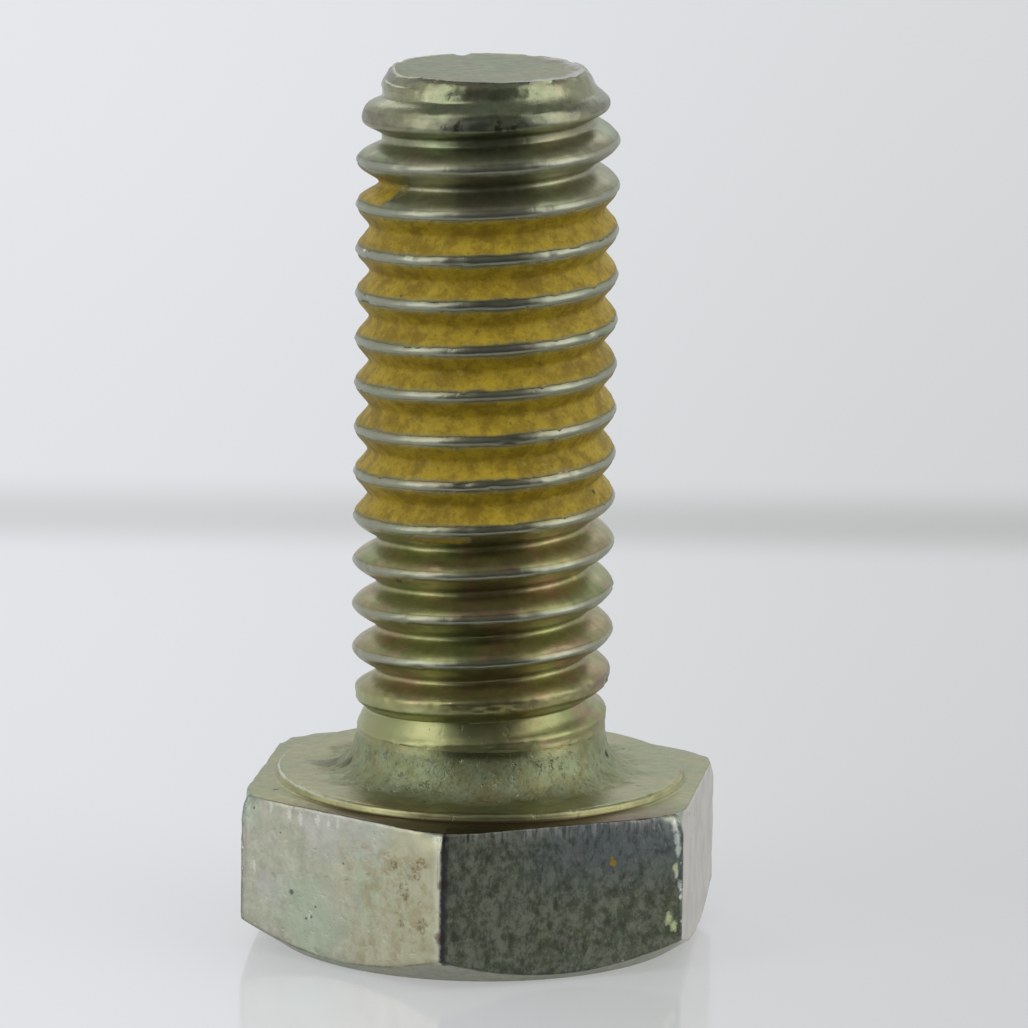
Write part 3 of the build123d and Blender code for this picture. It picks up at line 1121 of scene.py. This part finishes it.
def turned_by(degrees, axis, size=4):
    return Matrix.Rotation(math.radians(degrees), size, axis)


def place_camera():
    data = bpy.data.cameras.new("camera")
    data.lens = 280.2
    data.sensor_width = 36.0
    data.clip_start = 0.01
    camera = linked("camera", data)
    turn = turned_by(AZIMUTH, "Z") @ turned_by(90 - ELEVATION, "X") @ turned_by(ROLL, "Z")
    camera.matrix_world = Matrix.Translation(AIM) @ turn @ Matrix.Translation((0, 0, DISTANCE))
    bpy.context.scene.camera = camera


def seen_rays(tree):
    """1 for the rays that show the pale room itself: the camera's, and those off gloss or through glass."""
    path = put(tree, "LightPath").outputs
    return most(tree, path["Is Camera Ray"], most(tree, path["Is Glossy Ray"], path["Is Transmission Ray"]))


def floor_white():
    """A pale glossy board with painted light: brighter on the left, a little brighter in front and dimmer
    far back, with a soft grey margin where it ends in the back.
    """
    made, tree, shader = material_named("floor_white")
    facing = {"Vector": place(tree), "Rotation": (0, 0, -math.radians(AZIMUTH)), "Scale": [1 / MM] * 3}
    x, back, _ = put(tree, "SeparateXYZ", {0: put(tree, "Mapping", facing).outputs[0]}).outputs
    across = maths(tree, "DIVIDE", x, plus(tree, back, 172.0))
    # painted light falloff from left to right across the board
    shade = ramp(tree, across, -0.075, 0.095)
    tone = mix(tree, shade, (0.722, 0.732, 0.75), (0.55, 0.558, 0.552))
    # painted light: a little brighter in front, dimmer far back
    depth = times(tree, ramp(tree, back, -30.0, 20.0, 1.05, 1.0), ramp(tree, back, 30.0, 50.0, 1.0, 0.97))
    tone = scaled(tree, tone, depth)
    margin = times(tree, ramp(tree, back, 38.8, 43.7), ramp(tree, back, 50.3, 44.1))
    tone = layered(tree, tone, ((0.1, 0.1, 0.05), margin, ramp(tree, shade, 0.0, 1.0, 0.26, 0.36)))
    fill(tree, shader, {
        "Base Color": scaled(tree, tone, FLOOR_LIT),
        "Emission Color": tone,
        "Emission Strength": times(tree, seen_rays(tree), FLOOR_SEEN),
        "Roughness": 0.12,
        "Specular IOR Level": 0.35,
    })
    return made


def stage_floor():
    bm = bmesh.new()
    bmesh.ops.create_grid(bm, x_segments=1, y_segments=1, size=FLOOR_SIZE)
    bmesh.ops.translate(bm, vec=(0, 0, screw_low.z), verts=bm.verts)
    added("floor", bm, [floor_white()])


def flag_cloth():
    """Black cloth, a little paler higher up: painted shade darkens its foot, where the floor lights it most.
    """
    made, tree, shader = material_named("front_flag_cloth")
    # darker at the foot: painted shade against the floor's light
    tone = mix(tree, ramp(tree, axes(tree)["Z"], 2.0, 14.0), (0.025, 0.025, 0.027), (0.1, 0.1, 0.105))
    fill(tree, shader, {"Base Color": tone, "Roughness": 1.0, "Specular IOR Level": 0.0})
    return made


def front_flag(start, sweep):
    """A dark cloth, curved round the front of the screw, that is there only for its metal to mirror."""
    bm = bmesh.new()
    wire(bm, [(FLAG_RADIUS, FLAG_FOOT), (FLAG_RADIUS, FLAG_TOP)])
    bmesh.ops.rotate(bm, cent=(0, 0, 0), matrix=turned_by(start, "Z", 3), verts=bm.verts)
    bmesh.ops.spin(
        bm, geom=bm.verts[:] + bm.edges[:], cent=(0, 0, 0), axis=(0, 0, 1), dvec=(0, 0, 0),
        angle=math.radians(sweep), steps=36, use_merge=False,
    )
    bmesh.ops.scale(bm, vec=(MM, MM, MM), verts=bm.verts)
    cloth = added("front_flag", bm, [flag_cloth()])
    for rays in ("camera", "diffuse", "shadow", "transmission"):
        setattr(cloth, "visible_" + rays, False)


def panel(name, azimuth, elevation, distance, width, height, radiance):
    """A soft lamp of a given radiance, facing the middle of the screw."""
    data = bpy.data.lights.new(name, "AREA")
    data.shape = "RECTANGLE"
    data.size = width * MM
    data.size_y = height * MM
    data.energy = radiance * math.pi * width * height * MM * MM
    lamp = linked(name, data)
    turn = turned_by(azimuth + 90, "Z") @ turned_by(90 - elevation, "X")
    middle = Matrix.Translation((0, 0, TIP / 2 * MM))
    lamp.matrix_world = middle @ turn @ Matrix.Translation((0, 0, distance * MM))


def soft_room():
    """A pale room, darker overhead and on the side that the screw is looked at from."""
    world = bpy.data.worlds.new("studio")
    bpy.context.scene.world = world
    world.use_nodes = True
    tree = world.node_tree
    tree.nodes.clear()
    towards = put(tree, "TexCoord").outputs["Generated"]
    height = put(tree, "SeparateXYZ", {0: towards}).outputs["Z"]
    overhead = ramp(tree, height, 0.42, 0.90)
    before = ramp(tree, measured(tree, "DOT_PRODUCT", towards, FRONT), 0.50, 0.82)
    dim = most(tree, times(tree, overhead, 0.78), times(tree, before, 0.86))
    mirrored = mix(tree, dim, (0.7, 0.72, 0.75), (0.045, 0.045, 0.05))
    soft = mix(tree, times(tree, before, 0.75), (0.95, 0.97, 1.0), (0.25, 0.25, 0.26))
    shown = put(tree, "Background", {"Color": mirrored, "Strength": 1.0}).outputs[0]
    lit = put(tree, "Background", {"Color": soft, "Strength": 0.75}).outputs[0]
    both = put(tree, "MixShader", {0: seen_rays(tree), 1: lit, 2: shown}).outputs[0]
    tree.links.new(both, put(tree, "OutputWorld").inputs["Surface"])


place_camera()
stage_floor()
soft_room()
panel("left_panel", -143.0, 29.0, 130.0, 72.0, 165.0, 1.40)
panel("right_panel", -10.0, 29.0, 130.0, 85.0, 165.0, 1.35)
panel("back_panel", 98.0, 35.0, 160.0, 160.0, 80.0, 0.8)
front_flag(-118.0, 82.0)
bpy.context.scene.view_settings.view_transform = "Standard"
